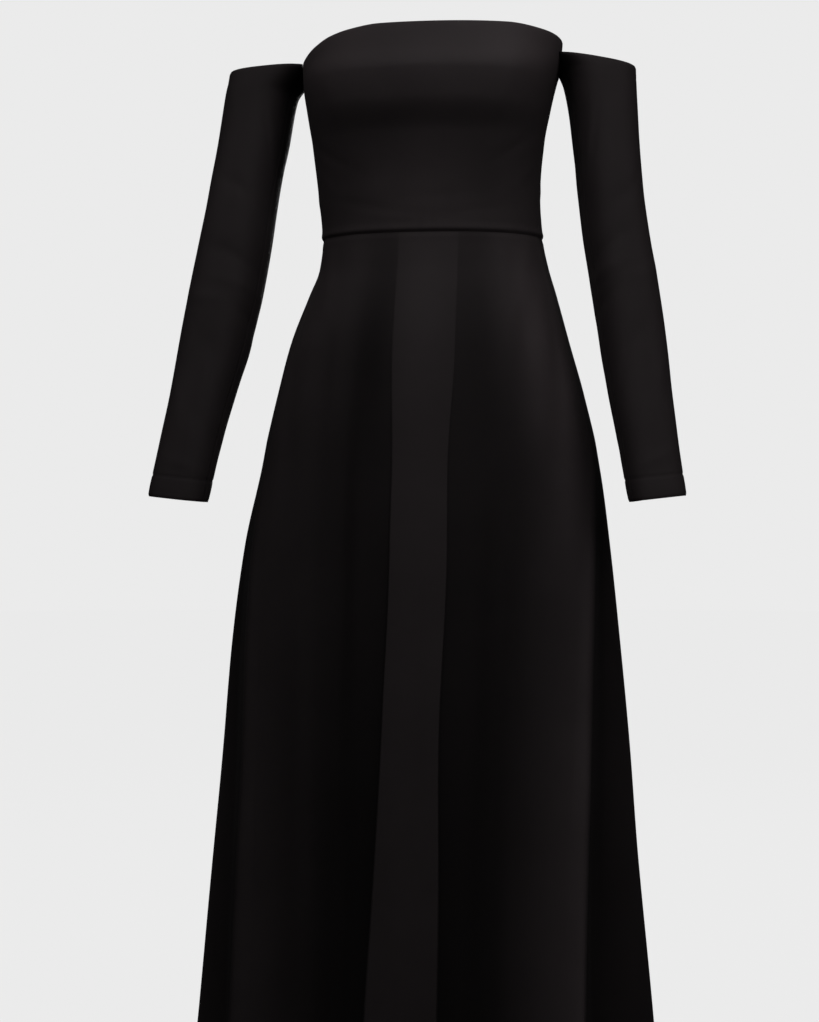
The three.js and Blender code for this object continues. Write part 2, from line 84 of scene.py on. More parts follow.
neckline_columns = ("angle", "level")
neckline = [
    (-180, 20), (-125, 21), (-92, 25), (-76, 28), (-64, 37), (-55, 45), (-44, 50.5), (-27, 54.5),
    (18, 55), (50, 55), (67, 51), (78, 47.5), (90, 42), (125, 24), (180, 20),
]

# The flat flare down the centre front: its middle and its half width across the body
centre_flare_columns = ("level", "middle", "half_width")
centre_flare = [
    (-182, 8.5, 32.5), (-318, 8, 33.5), (-447, 6.5, 29), (-550, 6.5, 30),
    (-723, 1.5, 29.5), (-892, -1, 33), (-1040, -5, 36.5), (-1242, -8, 40),
]
centre_flare_height = 7.0

# Flare lines: angle above the fold level, angle at the hem, how far it stands out or in at the hem,
# and the share of the skirt above it that stays smooth
left_flares = [
    (31, 14, -22, 0), (41, 22, -40, 0), (52, 30, -48, 0.03),
    (65, 38, -42, 0.12), (74, 43.5, -26, 0.18), (79, 47.5, -8, 0.2),
    (83, 51.5, -20, 0.22), (88, 62, -32, 0.22), (94, 84, 8, 0.25),
]
right_flares = [
    (24, 16, -24, 0), (33, 25, -42, 0), (44, 33.5, -49, 0.03),
    (57, 43, -42, 0.12), (67, 49.5, -25, 0.18), (72, 54, -7, 0.2),
    (76, 58, -19, 0.2), (83, 69, -30, 0.22), (93, 87, 8, 0.25),
]
seam_flare = (98, 98, 1, 0.3)
back_flares = [
    (110, 113, -14, 0.2), (132, 134, 13, 0.12), (156, 157, -12, 0.08), (180, 180, 6, 0.05),
]
past_back = (204, 203, -12, 0.08)

# Sleeves: outer and inner edges out from the middle of the dress on each side, the sleeve's middle from
# front to back, and its depth
sleeve_columns = ("level", "right_outer", "right_inner", "left_outer", "left_inner", "middle", "depth")
sleeve_sections = [
    (32, 239, 130, 238, 128, 18, 106),
    (12, 240, 150, 239, 148, 15, 108),
    (-8, 243, 164, 240, 155, 12, 107),
    (-66, 250, 172.5, 243, 164, 1, 104),
    (-128, 259, 181.5, 248, 171, -13, 100),
    (-188, 268, 187, 257, 178.5, -27, 97),
    (-248, 277, 194.5, 266.5, 188.5, -42, 94),
    (-307, 284.5, 206, 275, 198.5, -57, 88),
    (-366, 291.5, 220, 281.5, 209, -75, 80),
    (-423, 300, 232, 288.5, 221, -93, 71),
    (-485, 309, 242, 298, 233, -112, 62),
]
# Each sleeve's shade is an even painted shade over its colour, deeper on the right sleeve than the left
right_sleeve = {"name": "right", "side": -1, "turn": 7, "top_at_body": 25, "top_outer": 20, "shade": 0.2}
left_sleeve = {"name": "left", "side": 1, "turn": 17, "top_at_body": 30, "top_outer": 16, "shade": 0.1}
cuff_inner = -487.0
cuff_outer = -480.0


# Smooth curves through the tables

def smooth_curve(xs, ys):
    xs, ys = np.array(xs, float), np.array(ys, float)
    chords = np.diff(ys) / np.diff(xs)
    before, after = chords[:-1], chords[1:]
    total = np.where(before * after > 0, before + after, 1)
    inner = np.where(before * after > 0, 2 * before * after / total, 0)
    slopes = np.concatenate([chords[:1], inner, chords[-1:]])

    def at(x):
        held = np.clip(np.asarray(x, float), xs[0], xs[-1])
        i = np.clip(np.searchsorted(xs, held, side="right") - 1, 0, len(xs) - 2)
        span = xs[i + 1] - xs[i]
        t = (held - xs[i]) / span
        rise = ys[i] + (ys[i + 1] - ys[i]) * t * t * (3 - 2 * t)
        return rise + span * (slopes[i] * t * (1 - t) ** 2 - slopes[i + 1] * t * t * (1 - t))

    return at


def table_curves(rows, columns):
    ordered = sorted(rows)
    by = [row[0] for row in ordered]
    return {name: smooth_curve(by, [row[i] for row in ordered]) for i, name in enumerate(columns) if i}


body = table_curves(body_sections, body_columns)
flare = table_curves(centre_flare, centre_flare_columns)
sleeve = table_curves(sleeve_sections, sleeve_columns)
neckline_level = table_curves(neckline, neckline_columns)["level"]


def turned_from(start, angle):
    """Degrees from one angle to another, the short way round."""
    return (angle - start + 180) % 360 - 180


def body_radius(angle, level):
    """How far the smooth body stands out from the axis, in millimetres."""
    turn = np.radians(angle)
    across, ahead = np.sin(turn), np.cos(turn)
    half_width = np.where(across > 0, body["left"](level), body["right"](level))
    depth = np.where(ahead > 0, body["front"](level), body["back"](level))
    power = body["squareness"](level)
    return (np.abs(across / half_width) ** power + np.abs(ahead / depth) ** power) ** (-1 / power)


def around_axis(angle, radius, level):
    turn = np.radians(angle)
    return np.stack(np.broadcast_arrays(radius * np.sin(turn), -radius * np.cos(turn), level), axis=-1)


def body_point(angle, level):
    return around_axis(angle, body_radius(angle, level), level)


# Skirt: flare lines and the surface between them

def flare_drift(level):
    here, hem, fold = (1 / body["front"](z) for z in (level, hem_level, fold_level))
    return float(np.clip((here - hem) / (fold - hem), 0, 1))


def flare_growth(level, smooth):
    down = (waist_level - level) / (waist_level - hem_level)
    return max(0.0, float((down - smooth) / (1 - smooth))) ** fold_growth_power


def centre_flare_edge(side, level, beyond=0.0):
    across = flare["middle"](level) + side * (flare["half_width"](level) + beyond)
    return math.degrees(math.atan2(across, body["front"](level)))


flare_edge_step = 4.0
flare_edge_drop = 0.22
beyond_front = [seam_flare] + back_flares + [past_back]


def flare_lines(level):
    """Angle and rise of every flare line, from past the centre back on the right to past it on the left."""
    drift = flare_drift(level)

    def lines_of(flares, side):
        return [
            (side * (hem_angle + (fold_angle - hem_angle) * drift), rise * flare_growth(level, smooth))
            for fold_angle, hem_angle, rise, smooth in flares + beyond_front
        ]

    right = lines_of(right_flares, -1)
    left = lines_of(left_flares, 1)
    crest = centre_flare_height * flare_growth(level, 0)

    def shoulder(side, foot):
        """A point close beside the flat flare, which keeps its edge sharp."""
        rise = crest + (foot[1] - crest) * flare_edge_drop
        return (centre_flare_edge(side, level, flare_edge_step), rise)

    return (
        right[::-1]
        + [shoulder(-1, right[0]), (centre_flare_edge(-1, level), crest)]
        + [(centre_flare_edge(1, level), crest), shoulder(1, left[0])]
        + left
    )


line_count = len(flare_lines(hem_level))
right_back_line = 1
left_back_line = line_count - 2
right_seam_line = right_back_line + len(back_flares)
left_seam_line = left_back_line - len(back_flares)


def skirt_section(level):
    """The skirt's outline at a level, by the place between two flare lines."""
    lines = flare_lines(level)
    places = range(line_count)
    angle_at = smooth_curve(places, [a for a, _ in lines])
    depth_at = smooth_curve(places, [d for _, d in lines])

    def at(place):
        angle = angle_at(place)
        return angle, around_axis(angle, body_radius(angle, level) + depth_at(place), level)

    return at


# Painted shade on each flare line, which darkens the cloth's colour: 1 deep in a fold, 0 on an open face,
# and below 0 a painted highlight on a ridge. The front's run from beside the centre flare to the side.
front_painted_shades = {
    "right": (1.1, 1, 1, 0.82, 0.65, 0.45, 0.4, 0.62, 0.72, 0.25),
    "left": (1.1, 1, 1, 0.72, 0.35, 0, -0.45, 0.65, 0.85, 0.3),
}
centre_flare_painted_shade = 0.4
# Painted shade round the back follows the back flares: darker where they stand in, a painted highlight
# where they stand out
full_back_depth = 22.0
back_painted_shades = [-rise / full_back_depth for _, _, rise, _ in beyond_front]
painted_line_shade = smooth_curve(range(line_count), [
    *back_painted_shades[::-1], *front_painted_shades["right"][::-1], centre_flare_painted_shade,
    centre_flare_painted_shade, *front_painted_shades["left"], *back_painted_shades,
])
# How strongly the painted shade darkens the colour at each level, more towards the hem
shade_columns = ("level", "strength")
painted_shade_levels = [
    (-182, 0.24), (-303, 0.38), (-440, 0.58), (-545, 0.68), (-720, 0.74), (-900, 0.8), (-1242, 0.8),
]
painted_shade_strength = table_curves(painted_shade_levels, shade_columns)["strength"]

# The painted shade of the three folds at each side starts only below the cuffs
side_painted_shade_levels = [(-182, 0.2), (-430, 0.24), (-474, 0.4), (-520, 0.7), (-720, 0.78), (-1242, 0.82)]
side_painted_shade_strength = table_curves(side_painted_shade_levels, shade_columns)["strength"]
side_folds = 3
toward_side = [0.0] * (len(front_painted_shades["left"]) - side_folds) + [1.0] * side_folds
round_back = [0.0] * len(back_painted_shades)
side_fold_share = smooth_curve(
    range(line_count), round_back + toward_side[::-1] + [0, 0] + toward_side + round_back)


def painted_fold_shade(places, level):
    """How much painted shade the folds get at a level, by the place between two flare lines."""
    strength, at_side = float(painted_shade_strength(level)), float(side_painted_shade_strength(level))
    return painted_line_shade(places) * (strength + (at_side - strength) * side_fold_share(places))


# Soft patches of painted light and shade on the cloth's colour: (angle, level, width, height, amount). A
# positive amount is painted shade; a negative amount is lighter, a painted highlight.
bodice_painted_patches = [
    (-64, 24, 24, 42, -0.55), (62, 26, 26, 44, -0.7), (0, 40, 60, 40, -0.12), (-30, -62, 34, 26, 0.3),
    (36, -62, 30, 24, 0.16), (-46, -128, 16, 44, 0.22), (44, -124, 13, 40, 0.2), (4, -132, 15, 40, -0.14),
]
skirt_painted_patches = [
    (60, -300, 15, 105, -0.75), (-66, -280, 14, 90, -0.25), (66, -470, 12, 90, -0.4),
    (-22, -310, 13, 120, 0.36), (30, -310, 17, 120, 0.24),
]


# Painted shade, or painted highlight where below 0, summed from the patches at each point
def painted_patch_shade(patches, angle, level):
    total = np.zeros(np.broadcast(angle, level).shape)
    for at, middle, width, height, amount in patches:
        beside = turned_from(at, angle) / width
        total += amount * np.exp(-(beside ** 2) - ((level - middle) / height) ** 2)
    return total


# Creases: soft ridges and troughs, listed as (angle, level, lean, length, width, rise).
# Lean is in degrees from upright, to the left as worn at the top. A negative rise is a trough.
bodice_creases = [
    (-62, -88, -58, 34, 6, -1.0), (-70, -112, -50, 28, 5, 0.7), (-38, -150, -78, 46, 6, -0.6),
    (58, -84, 55, 30, 6, -0.9), (66, -116, 50, 30, 5, 0.6), (34, -158, 80, 50, 6, -0.5),
    (-12, -166, -84, 44, 5, 0.4), (14, -140, 86, 60, 8, -0.5), (-84, -60, -20, 40, 7, -0.8),
    (84, -56, 18, 38, 7, -0.8), (-50, -30, -12, 40, 12, 1.0), (46, -26, 14, 40, 12, 1.0),
    (-92, -130, -70, 30, 6, 0.8), (93, -126, 68, 32, 6, 0.8),
    (140, -90, 60, 50, 8, -1.0), (-142, -96, -62, 52, 8, -1.0), (128, -140, 74, 60, 7, 0.9),
    (-130, -146, -76, 56, 7, 0.9), (160, -160, 84, 40, 6, -0.8), (-162, -156, -82, 42, 6, -0.8),
    (118, -40, 30, 50, 9, -0.9), (-118, -44, -34, 46, 9, -0.9),
]
skirt_creases = [
    (44, -300, 8, 110, 16, 2.2), (-40, -330, -6, 130, 18, 2.0), (66, -360, 12, 150, 15, -2.4),
    (-68, -330, -14, 130, 15, -2.2), (60, -232, 26, 60, 10, 1.2), (-58, -236, -28, 56, 10, 1.2),
    (-30, -560, -3, 240, 14, -2.0), (29, -620, 3, 260, 15, -2.2), (-42, -820, -3, 260, 12, 1.8),
    (36, -880, 2, 250, 13, 1.6), (-22, -980, 1, 200, 12, -1.8), (24, -1060, -1, 190, 14, -1.6),
    (84, -620, 4, 260, 18, 2.6), (-82, -700, -4, 280, 18, 2.4), (-64, -960, -2, 220, 14, -2.2),
    (62, -1010, 2, 220, 14, -2.2), (104, -760, 3, 300, 17, -2.4), (-106, -720, -3, 300, 16, -2.4),
    (122, -480, 6, 220, 20, 2.4), (-120, -520, -6, 240, 20, 2.4), (146, -640, 3, 280, 18, -2.0),
    (-148, -600, -3, 280, 18, -2.0), (168, -840, 1, 300, 16, 1.8), (-168, -900, -1, 280, 16, 1.8),
    (140, -1010, 2, 220, 17, 2.0), (-138, -1040, -2, 210, 17, 2.0), (2, -760, 0, 320, 10, -0.8),
    (-5, -1080, 0, 160, 9, 0.8),
]
# Sleeve creases are placed by the turn round the sleeve: 0 is its outer side, 90 its back, 180 its inner
# side and 270 its front.
sleeve_creases = {
    "right": [
        (230, -48, 30, 34, 7, -1.4), (205, -78, 24, 40, 7, 1.1), (262, -120, 58, 40, 8, -1.2),
        (245, -205, 66, 36, 8, -1.8), (225, -238, 74, 34, 7, 1.5), (208, -272, 62, 38, 8, -1.7),
        (285, -250, 80, 30, 8, 1.0), (240, -330, 38, 60, 9, -1.2), (290, -372, 24, 60, 10, 1.0),
        (210, -410, 52, 32, 7, -1.0), (252, -446, 70, 24, 6, 0.9), (60, -180, -50, 46, 10, -1.4),
        (80, -260, -64, 44, 9, 1.2), (30, -60, -20, 60, 12, 1.0), (330, -150, 12, 90, 14, -1.1),
        (120, -120, 40, 46, 10, -1.2), (140, -330, 30, 60, 10, 1.0), (100, -420, -50, 30, 8, -0.9),
    ],
    "left": [
        (236, -58, 26, 38, 7, -1.4), (212, -92, 20, 44, 8, 1.1), (270, -140, 50, 44, 8, -1.1),
        (240, -196, 62, 38, 8, -1.7), (222, -226, 72, 36, 7, 1.5), (212, -258, 58, 36, 8, -1.6),
        (292, -230, 76, 34, 9, 1.0), (250, -318, 34, 66, 9, -1.3), (282, -360, 20, 66, 10, 1.1),
        (216, -398, 48, 34, 7, -1.0), (262, -440, 66, 26, 6, 0.9), (64, -170, -46, 48, 10, -1.4),
        (84, -244, -60, 46, 9, 1.2), (24, -70, -24, 56, 12, 1.0), (338, -170, 10, 80, 14, -1.1),
        (124, -132, 36, 50, 10, -1.2), (136, -344, 34, 58, 10, 1.0), (104, -408, -54, 32, 8, -0.9),
    ],
}


def crease_field(creases, angle, level, radius, strength=1.0):
    """How far the creases lift the cloth, in millimetres."""
    lift = np.zeros_like(level)
    for at_angle, at_level, lean, length, width, rise in creases:
        across, up = np.radians(turned_from(at_angle, angle)) * radius, level - at_level
        turn = math.radians(lean)
        along = up * math.cos(turn) + across * math.sin(turn)
        beside = across * math.cos(turn) - up * math.sin(turn)
        lift += strength * rise * np.exp(-((along / length) ** 2) - (beside / width) ** 2)
    return lift


# Seams, edges and stitching: how deep a groove or how high a roll, and how wide
side_seam_groove = (0.7, 1.8)
back_seam_groove = (0.9, 2.4)
sleeve_seam_groove = (0.7, 1.7)
waist_groove = (1.6, 2.2)
waist_groove_on_skirt = (0.9, 3.5)
waist_roll = (0.7, 4)
neck_edge = (1.1, 1.6)
neck_roll = (0.35, 6)
hem_edge = (0.9, 2.0)
hem_stitching = (0.35, 1.6)
sleeve_edge = (1.0, 1.6)
sleeve_top_stitching = (0.3, 1.2)
cuff_stitching = (0.7, 1.3)
cuff_roll = (0.25, 8)
waist_roll_height = 5
neck_roll_depth = 9
sleeve_top_turn = 16
cuff_roll_height = 12
sleeve_seam_turn = 186
bodice_crease_strength = 0.6
sleeve_crease_strength = 0.8
bodice_unevenness = 0.35
sleeve_unevenness = 0.4
waist_unevenness = 0.3
hem_unevenness = 1.8
# Ripples along the waist seam: height, reach, ripples round the body, how far and how often they drift
bodice_pucker = (0.22, 14, 23, 3, 5)
skirt_pucker = (0.2, 18, 21, 2.6, 4)


def pucker(distance, turn, height, reach, ripples, drift, drifts):
    return height * np.exp(-distance / reach) * np.sin(turn * ripples + drift * np.sin(turn * drifts))


def roll(distance, height, width):
    return height * np.exp(-((distance / width) ** 2))


def groove(distance, depth, width):
    return roll(distance, -depth, width)


def uneven(along, across, seed):
    """A gentle unevenness from a few waves that don't repeat together, from -1 to 1."""
    waves = ((1.0, 0.31, 0.4), (2.3, -0.17, 1.9), (3.7, 0.53, 4.2), (5.9, -0.41, 2.7))
    fading, most = 0.62, 2.2
    total = sum(
        fading ** i * np.sin(a * along + b * across + c * seed) for i, (a, b, c) in enumerate(waves))
    return total / most


def outward_normals(points):
    """Normals of a grid whose rows run down and whose columns run to the left as worn in front."""
    down = np.gradient(points, axis=0)
    along = np.gradient(points, axis=1)
    normal = np.cross(down, along)
    return normal / np.maximum(np.linalg.norm(normal, axis=2, keepdims=True), 1e-9)


def ring_normals(points):
    wrapped = np.concatenate([points[:, -1:], points, points[:, :1]], axis=1)
    return outward_normals(wrapped)[:, 1:-1]


# Meshes

def placed(name, data):
    """A new object of this name in the scene."""
    thing = bpy.data.objects.new(name, data)
    bpy.context.collection.objects.link(thing)
    return thing


def finished(piece, material, body_name, node):
    """Gives a piece its material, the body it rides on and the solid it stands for."""
    piece.data.materials.append(material)
    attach(piece, body_name)
    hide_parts(node)
    return piece


def cloth_piece(name, points, material, node, thickness=cloth_thickness, closed=False, painted_shade=None):
    """A sheet from a grid of points in millimetres, thickened to the inside. Its attribute of painted shade
    runs from 0 on an open face to 1 for painted shade deep in a fold, and is below 0 for a painted
    highlight."""
    rows, columns = points.shape[:2]
    spans = columns if closed else columns - 1
    index = np.arange(rows * columns).reshape(rows, columns)
    if closed:
        index = np.concatenate([index, index[:, :1]], axis=1)
    left, right = slice(0, spans), slice(1, spans + 1)
    quads = np.stack([index[:-1, left], index[1:, left], index[1:, right], index[:-1, right]], axis=-1)
    mesh = bpy.data.meshes.new(name)
    mesh.from_pydata((points.reshape(-1, 3) * MM).tolist(), [], quads.reshape(-1, 4).tolist())
    shade = mesh.attributes.new("painted_shade", "FLOAT", "POINT")
    if painted_shade is not None:
        shade.data.foreach_set("value", painted_shade.ravel().tolist())
    piece = placed(name, mesh)
    bpy.ops.object.select_all(action="DESELECT")
    bpy.context.view_layer.objects.active = piece
    piece.select_set(True)
    wall = piece.modifiers.new("wall", "SOLIDIFY")
    wall.thickness = thickness * MM
    wall.offset = -1
    bpy.ops.object.modifier_apply(modifier="wall")
    bpy.ops.object.shade_smooth_by_angle(angle=math.radians(50))
    return finished(piece, material, "dress", node)


def spread(marks, steps):
    """Even steps from mark to mark, the last mark included."""
    parts = [np.linspace(a, b, n, endpoint=False) for a, b, n in zip(marks, marks[1:], steps)]
    return np.concatenate(parts + [[marks[-1]]])


def edged(count, near):
    """Shares from 0 to 1 with finer steps near both ends."""
    return spread([0, near, 1 - near, 1], [7, count, 7])


# Sleeve sections and armholes

def sleeve_shape(which, level, inset=0.0):
    """The sleeve's middle outwards and backwards, its half width and half depth, and its turn."""
    outer, inner = (sleeve[f"{which['name']}_{edge}"](level) for edge in ("outer", "inner"))
    turn = math.radians(which["turn"])
    half_depth = sleeve["depth"](level) / 2
    dual = sleeve_squareness / (sleeve_squareness - 1)
    half_reach = ((outer - inner) / 2) ** dual - (half_depth * math.sin(turn)) ** dual
    half_width = half_reach ** (1 / dual) / math.cos(turn) - inset
    return (outer + inner) / 2, sleeve["middle"](level), half_width, half_depth - inset, turn


def sleeve_point(which, around, level, inset=0.0):
    outward, back, half_width, half_depth, turn = sleeve_shape(which, level, inset)
    power = 2 / sleeve_squareness

    def rounded(value):
        return np.sign(value) * np.abs(value) ** power

    out = half_width * rounded(np.cos(np.radians(around)))
    behind = half_depth * rounded(np.sin(np.radians(around)))
    x = outward + out * math.cos(turn) - behind * math.sin(turn)
    y = back + out * math.sin(turn) + behind * math.cos(turn)
    return np.stack(np.broadcast_arrays(which["side"] * x, y, level), axis=-1)


def inside_sleeve(which, point, inset):
    outward, back, half_width, half_depth, turn = sleeve_shape(which, point[..., 2], inset)
    x, y = which["side"] * point[..., 0] - outward, point[..., 1] - back
    out = (x * math.cos(turn) + y * math.sin(turn)) / half_width
    behind = (y * math.cos(turn) - x * math.sin(turn)) / half_depth
    return np.abs(out) ** sleeve_squareness + np.abs(behind) ** sleeve_squareness < 1


def clear_of_body(point):
    """How far a point stands outside the bodice, in millimetres."""
    angle = np.degrees(np.arctan2(point[..., 0], -point[..., 1]))
    return np.hypot(point[..., 0], point[..., 1]) - body_radius(angle, point[..., 2])


def sleeve_top(which, point):
    """The level of the sleeve's slanting top edge above a point."""
    outward, _, half_width, _, _ = sleeve_shape(which, which["top_outer"])
    across = (which["side"] * point[..., 0] - outward) / half_width
    share = np.clip((across + 1) / 2, 0, 1)
    return which["top_at_body"] + (which["top_outer"] - which["top_at_body"]) * share


def boundary(fails, holds, test):
    """Halves the way between where a test fails and where it holds, for whole arrays at once."""
    low, high = np.array(fails, float), np.array(holds, float)
    for _ in range(40):
        middle = (low + high) / 2
        passed = test(middle)
        high, low = np.where(passed, middle, high), np.where(passed, low, middle)
    return high


lowest_armhole = -60.0
lowest_bodice_cut = -40.0


def sleeve_clears(which, around, level):
    return np.minimum(
        clear_of_body(sleeve_point(which, around, level)),
        clear_of_body(sleeve_point(which, around, level, cloth_thickness)),
    ) > armhole_clearance


def free_top(which, around):
    return sleeve_top(which, sleeve_point(which, around, which["top_at_body"]))


def sleeve_column_top(which, around):
    top = free_top(which, around)
    lowest = np.full_like(top, lowest_armhole)
    cut = boundary(top, lowest, lambda level: sleeve_clears(which, around, level))
    return np.where(sleeve_clears(which, around, top), top, cut)


def bodice_top(angle):
    """The bodice's upper edge: the neckline, or the armhole where the sleeve is set in."""
    top = neckline_level(angle)
    result = np.array(top)
    for which in (left_sleeve, right_sleeve):
        limit = np.minimum(top, sleeve_top(which, body_point(angle, top)))
        entered = inside_sleeve(which, body_point(angle, limit), armhole_lap) & (angle * which["side"] > 0)
        cut = boundary(
            np.full_like(top, lowest_bodice_cut), limit,
            lambda level: inside_sleeve(which, body_point(angle, level), armhole_lap),
        )
        result = np.where(entered, cut, result)
    return result


def armhole_corner(which, inside, outside):
    """The angle where the armhole meets the neckline, between an angle inside it and one outside."""
    def is_open(angle):
        turned = which["side"] * np.array([float(angle)])
        return bool((bodice_top(turned) < neckline_level(turned) - 1)[0])
    return float(boundary(outside, inside, is_open))


# Bodice

def seam_distance(angle, radius, seam):
    return np.radians(turned_from(seam, angle)) * radius


def bodice_lift(angle, level, top, radius):
    """How far creases, seams and edges lift the bodice, in millimetres."""
    turn = np.radians(angle)
    lift = crease_field(bodice_creases, angle, level, radius, bodice_crease_strength)
    lift += bodice_unevenness * uneven(level / 38, turn * 3.1, 1.0)
    for seam in (side_seam_angle, -side_seam_angle):
        lift += groove(seam_distance(angle, radius, seam), *side_seam_groove)
    lift += groove(seam_distance(angle, radius, 180), *back_seam_groove)
    above_waist = level - waist_level
    lift += groove(above_waist, *waist_groove) + roll(above_waist - waist_roll_height, *waist_roll)
    lift += pucker(above_waist, turn, *bodice_pucker)
    below_top = top - level
    lift += groove(below_top, *neck_edge) + roll(below_top - neck_roll_depth, *neck_roll)
    return lift


def zip_mouth(level):
    """Half the opening at the centre back: the seam's gap, wider at the slider."""
    opened = np.clip(1 - (neckline_level(180) - level) / zip_mouth_depth, 0, None)
    return seam_gap / 2 + (zip_mouth_half_width - seam_gap / 2) * opened


def seam_edge(level):
    return np.degrees(seam_gap / 2 / body_radius(side_seam_angle, level))


def zip_edge(level):
    return np.degrees(zip_mouth(level) / body_radius(180, level))


panel_rows = 90
panel_edge_share = 0.03


def bodice_panel(node, columns, first_edge, last_edge, material):
    """A panel between two seams, from the waist up to the neckline and the armholes."""
    shares = edged(panel_rows, panel_edge_share)
    bottom = waist_level + seam_gap / 2
    angle = np.tile(columns, (len(shares), 1))
    top = bodice_top(columns)[None, :]
    level = top + (bottom - top) * shares[:, None]
    angle[:, 0] += first_edge(level[:, 0])
    angle[:, -1] -= last_edge(level[:, -1])
    radius = body_radius(angle, level)
    points = around_axis(angle, radius, level)
    points = points + outward_normals(points) * bodice_lift(angle, level, top, radius)[..., None]
    # Painted shade and painted highlights on the bodice, from its patches
    shade = painted_patch_shade(bodice_painted_patches, angle, level)
    return cloth_piece(f"crepe_{node}", points, material, node, painted_shade=shade)


# Skirt

def skirt_lift(angle, level, radius):
    """How far creases, seams and the hem lift the skirt, which is more uneven towards the hem."""
    turn = np.radians(angle)
    down = (waist_level - level) / (waist_level - hem_level)
    lift = crease_field(skirt_creases, angle, level, radius)
    unevenness = waist_unevenness + (hem_unevenness - waist_unevenness) * down
    lift += unevenness * uneven(level / 260, turn * 9, 2.0)
    for seam in (side_seam_angle, -side_seam_angle, 180):
        lift += groove(seam_distance(angle, radius, seam), *side_seam_groove)
    below_waist = waist_level - level
    lift += groove(below_waist, *waist_groove_on_skirt)
    lift += pucker(below_waist, turn, *skirt_pucker)
    above_hem = level - hem_level
    lift += groove(above_hem - hem_turn_up, *hem_stitching) + groove(above_hem, *hem_edge)
    return lift


skirt_levels = spread(
    [waist_level - seam_gap / 2, waist_level - 14, hem_level + hem_turn_up + 6, hem_level + hem_turn_up - 8,
     hem_level + 6, hem_level],
    [10, 150, 12, 4, 6],
)


def skirt_panel(node, first_line, last_line, columns, material):
    """A panel between two flare lines, whose outer columns stop half a gap from the seams."""
    places = np.linspace(first_line, last_line, columns)
    grid, angles, painted_shades = [], [], []
    for level in skirt_levels:
        angle, points = skirt_section(float(level))(places)
        for end, inner in ((0, 1), (-1, -2)):
            along = points[inner] - points[end]
            points[end] = points[end] + along * (seam_gap / 2 / max(float(np.linalg.norm(along)), 1e-6))
        grid.append(points)
        angles.append(angle)
        # Painted shade in the folds at this level
        painted_shades.append(painted_fold_shade(places, level))
    points, angle = np.array(grid), np.array(angles)
    radius = np.hypot(points[..., 0], points[..., 1])
    points = points + outward_normals(points) * skirt_lift(angle, points[..., 2], radius)[..., None]
    # The patches add more painted shade and painted highlights
    shade = np.array(painted_shades) + painted_patch_shade(skirt_painted_patches, angle, skirt_levels[:, None])
    return cloth_piece(f"crepe_{node}", points, material, node, painted_shade=shade)


# Sleeves

def sleeve_lift(which, around, level, top, bottom, radius):
    """How far creases, the seam, the top edge and the cuff lift the sleeve."""
    lift = crease_field(sleeve_creases[which["name"]], around, level, radius, sleeve_crease_strength)
    lift += sleeve_unevenness * uneven(level / 55, np.radians(around) * 2, 3.0 + which["side"])
    lift += groove(seam_distance(around, radius, sleeve_seam_turn), *sleeve_seam_groove)
    below_top = top - level
    lift += groove(below_top, *sleeve_edge) + groove(below_top - sleeve_top_turn, *sleeve_top_stitching)
    above_cuff = level - bottom
    lift += groove(above_cuff, *sleeve_edge) + groove(above_cuff - cuff_turn_in, *cuff_stitching)
    lift += roll(above_cuff - cuff_roll_height, *cuff_roll)
    return lift


# Painted shade along the sleeve's inner front, round the turn given and as wide as the spread
sleeve_front_painted_shade = 0.16
sleeve_front_turn = 255
sleeve_front_spread = 50


sleeve_corner_share = 0.006


def make_sleeve(which, material):
    """A sleeve from its slanting top and its armhole down to the cuff, with the finest columns at the
    armhole's corners."""
    def clears(around):
        return sleeve_clears(which, around, free_top(which, around))

    back_corner = float(boundary(180, 90, clears))
    front_corner = float(boundary(180, 270, clears))
    around = spread([front_corner - 360, 0, back_corner], [44, 30])[:-1]
    inner_side = edged(52, sleeve_corner_share)[:-1]
    around = np.append(around, back_corner + (front_corner - back_corner) * inner_side)
    shares = spread([0, 0.012, 0.06, 0.94, 0.988, 1], [5, 8, 150, 12, 5])
    cuff = sleeve_point(which, around, cuff_outer)
    outward, _, half_width, _, _ = sleeve_shape(which, cuff_outer)
    inner_share = np.clip((1 - (which["side"] * cuff[..., 0] - outward) / half_width) / 2, 0, 1)
    bottom = (cuff_outer + (cuff_inner - cuff_outer) * inner_share)[None, :]
    top = sleeve_column_top(which, around)[None, :]
    level = top + (bottom - top) * shares[:, None]
    turn = np.tile(around, (len(shares), 1))
    points = sleeve_point(which, turn, level)
    if which["side"] < 0:
        points, turn, level = points[:, ::-1], turn[:, ::-1], level[:, ::-1]
        top, bottom = top[:, ::-1], bottom[:, ::-1]
    radius = np.broadcast_to(sleeve["depth"](level) / 2, level.shape)
    lift = sleeve_lift(which, turn % 360, level, top, bottom, radius)
    points = points + ring_normals(points) * lift[..., None]
    # Painted shade: even over each sleeve, deeper along its inner front
    shade = which["shade"] + roll(turn % 360 - sleeve_front_turn, sleeve_front_painted_shade, sleeve_front_spread)
    node = f"sleeve_{which['name']}"
    return cloth_piece(f"crepe_{node}", points, material, node, closed=True, painted_shade=shade)


# The concealed zip at the centre back: two tapes inside, a coil between them, a slider in the mouth
# and its pull

